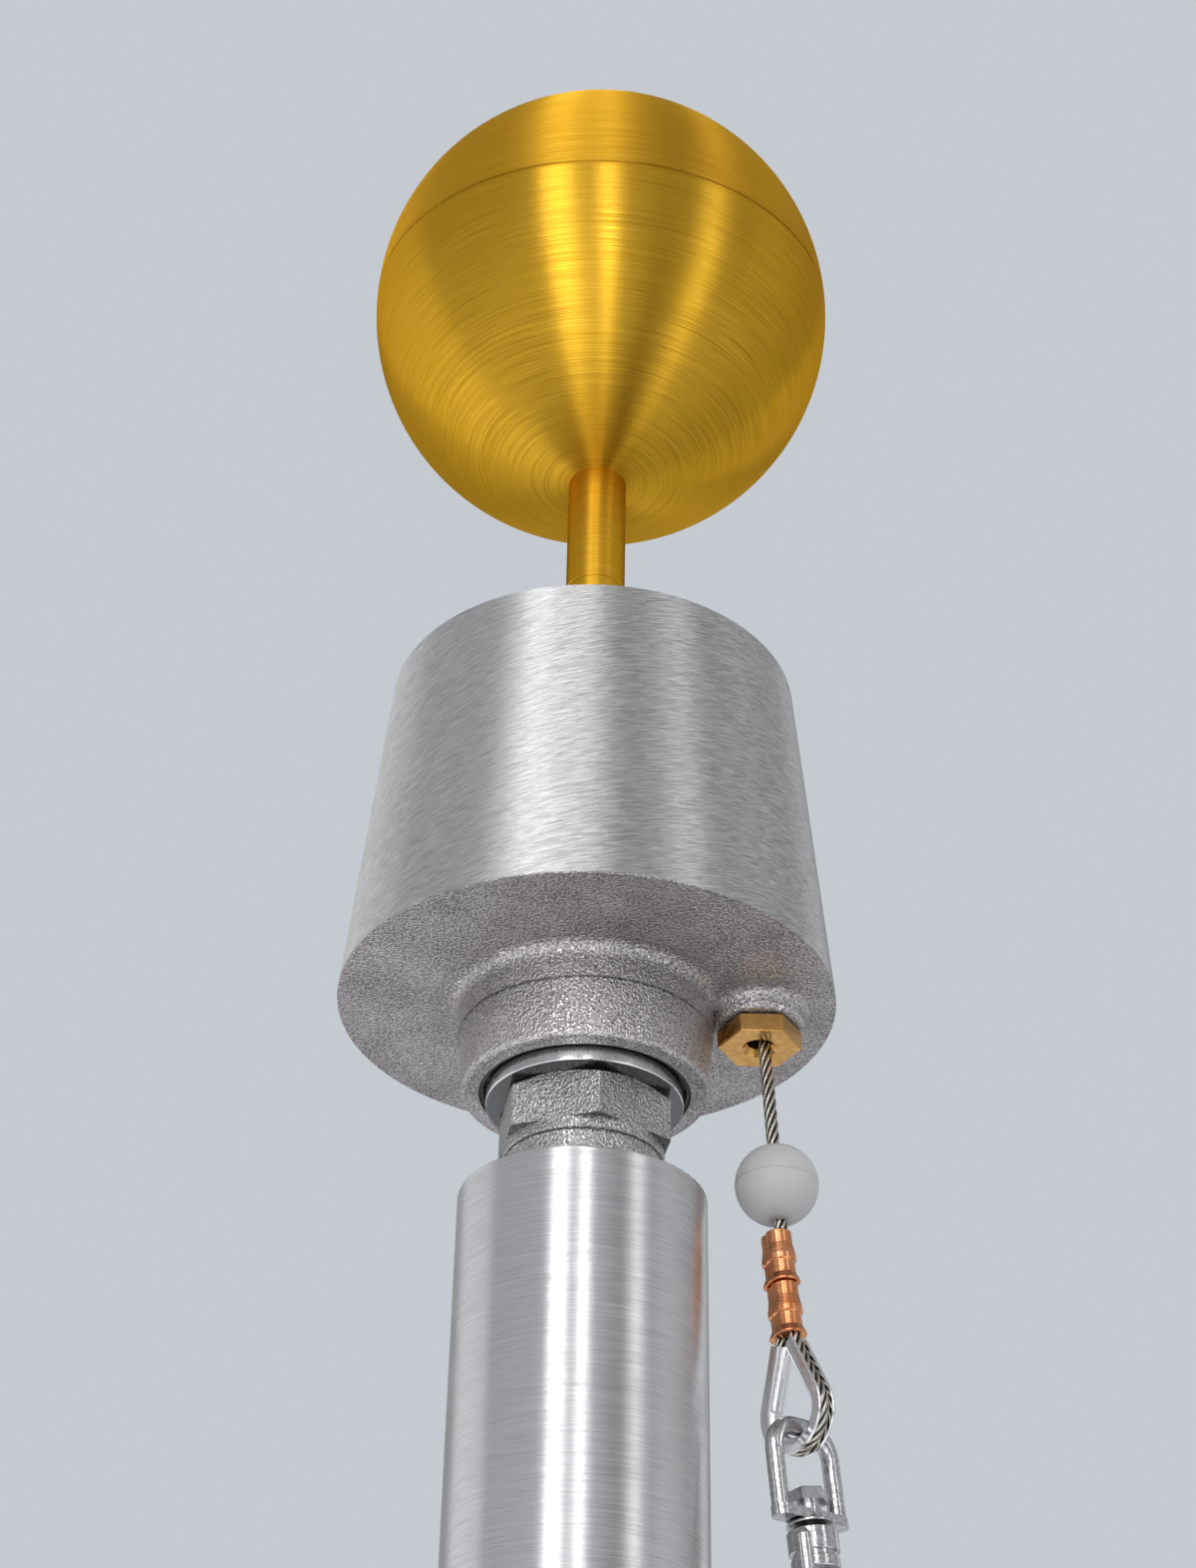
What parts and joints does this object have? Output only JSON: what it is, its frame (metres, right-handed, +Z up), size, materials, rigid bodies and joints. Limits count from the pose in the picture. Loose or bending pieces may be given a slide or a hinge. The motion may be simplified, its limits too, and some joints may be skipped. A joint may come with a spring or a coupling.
{
  "type": "flagpole head with revolving truck and ball finial",
  "caption": "Top of a flagpole: ball finial on a stem over a tapered revolving truck, on a tube stub, with a wire halyard, stop ball, thimble and swivel snap hook.",
  "frame": {"origin": "centre of the pole stub's cut lower face", "axes": "+Z up along the pole; +X towards the halyard's outlet"},
  "size_m": [0.2032, 0.2032, 1.0434],
  "materials": {
    "brushed_aluminium": "brushed, satin",
    "cast_aluminium": "sand cast, drum brushed",
    "turned_aluminium": "turned, bright",
    "turned_steel": "turned",
    "bearing_bronze": "turned, oiled",
    "seal_rubber": "smooth",
    "outlet_brass": "polished",
    "gold_aluminium": "spun, gold anodised, satin",
    "wire_rope": "laid strands",
    "frosted_nylon": "frosted, slightly translucent",
    "crimp_copper": "pressed copper",
    "polished_steel": "polished stainless",
    "forged_steel": "tumbled, bright"
  },
  "bodies": {
    "pole": {"pole_tube": "brushed_aluminium", "pole_plug": "turned_aluminium", "spindle": "cast_aluminium", "thrust_ring": "turned_aluminium", "spindle_nut": "turned_steel"},
    "truck": {"lower_bearing": "bearing_bronze", "upper_bearing": "bearing_bronze", "neck_seal": "seal_rubber", "truck_housing": "cast_aluminium", "top_cover": "brushed_aluminium", "cover_screws": "turned_steel", "outlet_gasket": "seal_rubber", "halyard_outlet": "outlet_brass", "finial_rod": "gold_aluminium", "finial_stem": "gold_aluminium", "ball_lower": "gold_aluminium", "ball_upper": "gold_aluminium", "halyard_rope": "wire_rope", "stop_ball": "frosted_nylon", "upper_sleeve": "crimp_copper", "lower_sleeve": "crimp_copper", "thimble": "polished_steel"},
    "bow": {"swivel_bow": "forged_steel"},
    "snap": {"swivel_pin": "forged_steel", "snap_hook": "forged_steel", "gate_pin": "forged_steel"},
    "gate": {"snap_gate": "forged_steel"}
  },
  "joints": [
    {"name": "truck_spin", "type": "hinge", "parent": "pole", "child": "truck", "pos_m": [0, 0, 0.5], "axis": [0, 0, 1], "continuous": true},
    {"name": "bow_swing", "type": "hinge", "parent": "truck", "child": "bow", "pos_m": [0.07472, 0.0018, 0.41912], "axis": [-0.7742, -0.6293, -0.0677], "range_deg": [-18, 80]},
    {"name": "snap_swivel", "type": "hinge", "parent": "bow", "child": "snap", "pos_m": [0.07777, 0.0018, 0.38431], "axis": [-0.0872, 0, 0.9962], "continuous": true},
    {"name": "gate_open", "type": "hinge", "parent": "snap", "child": "gate", "pos_m": [0.08192, 0.00648, 0.3678], "axis": [-0.8627, 0.5, -0.0755], "range_deg": [0, 24], "stiffness_Nm_per_rad": 0.01, "springref_deg": -28.65}
  ]
}
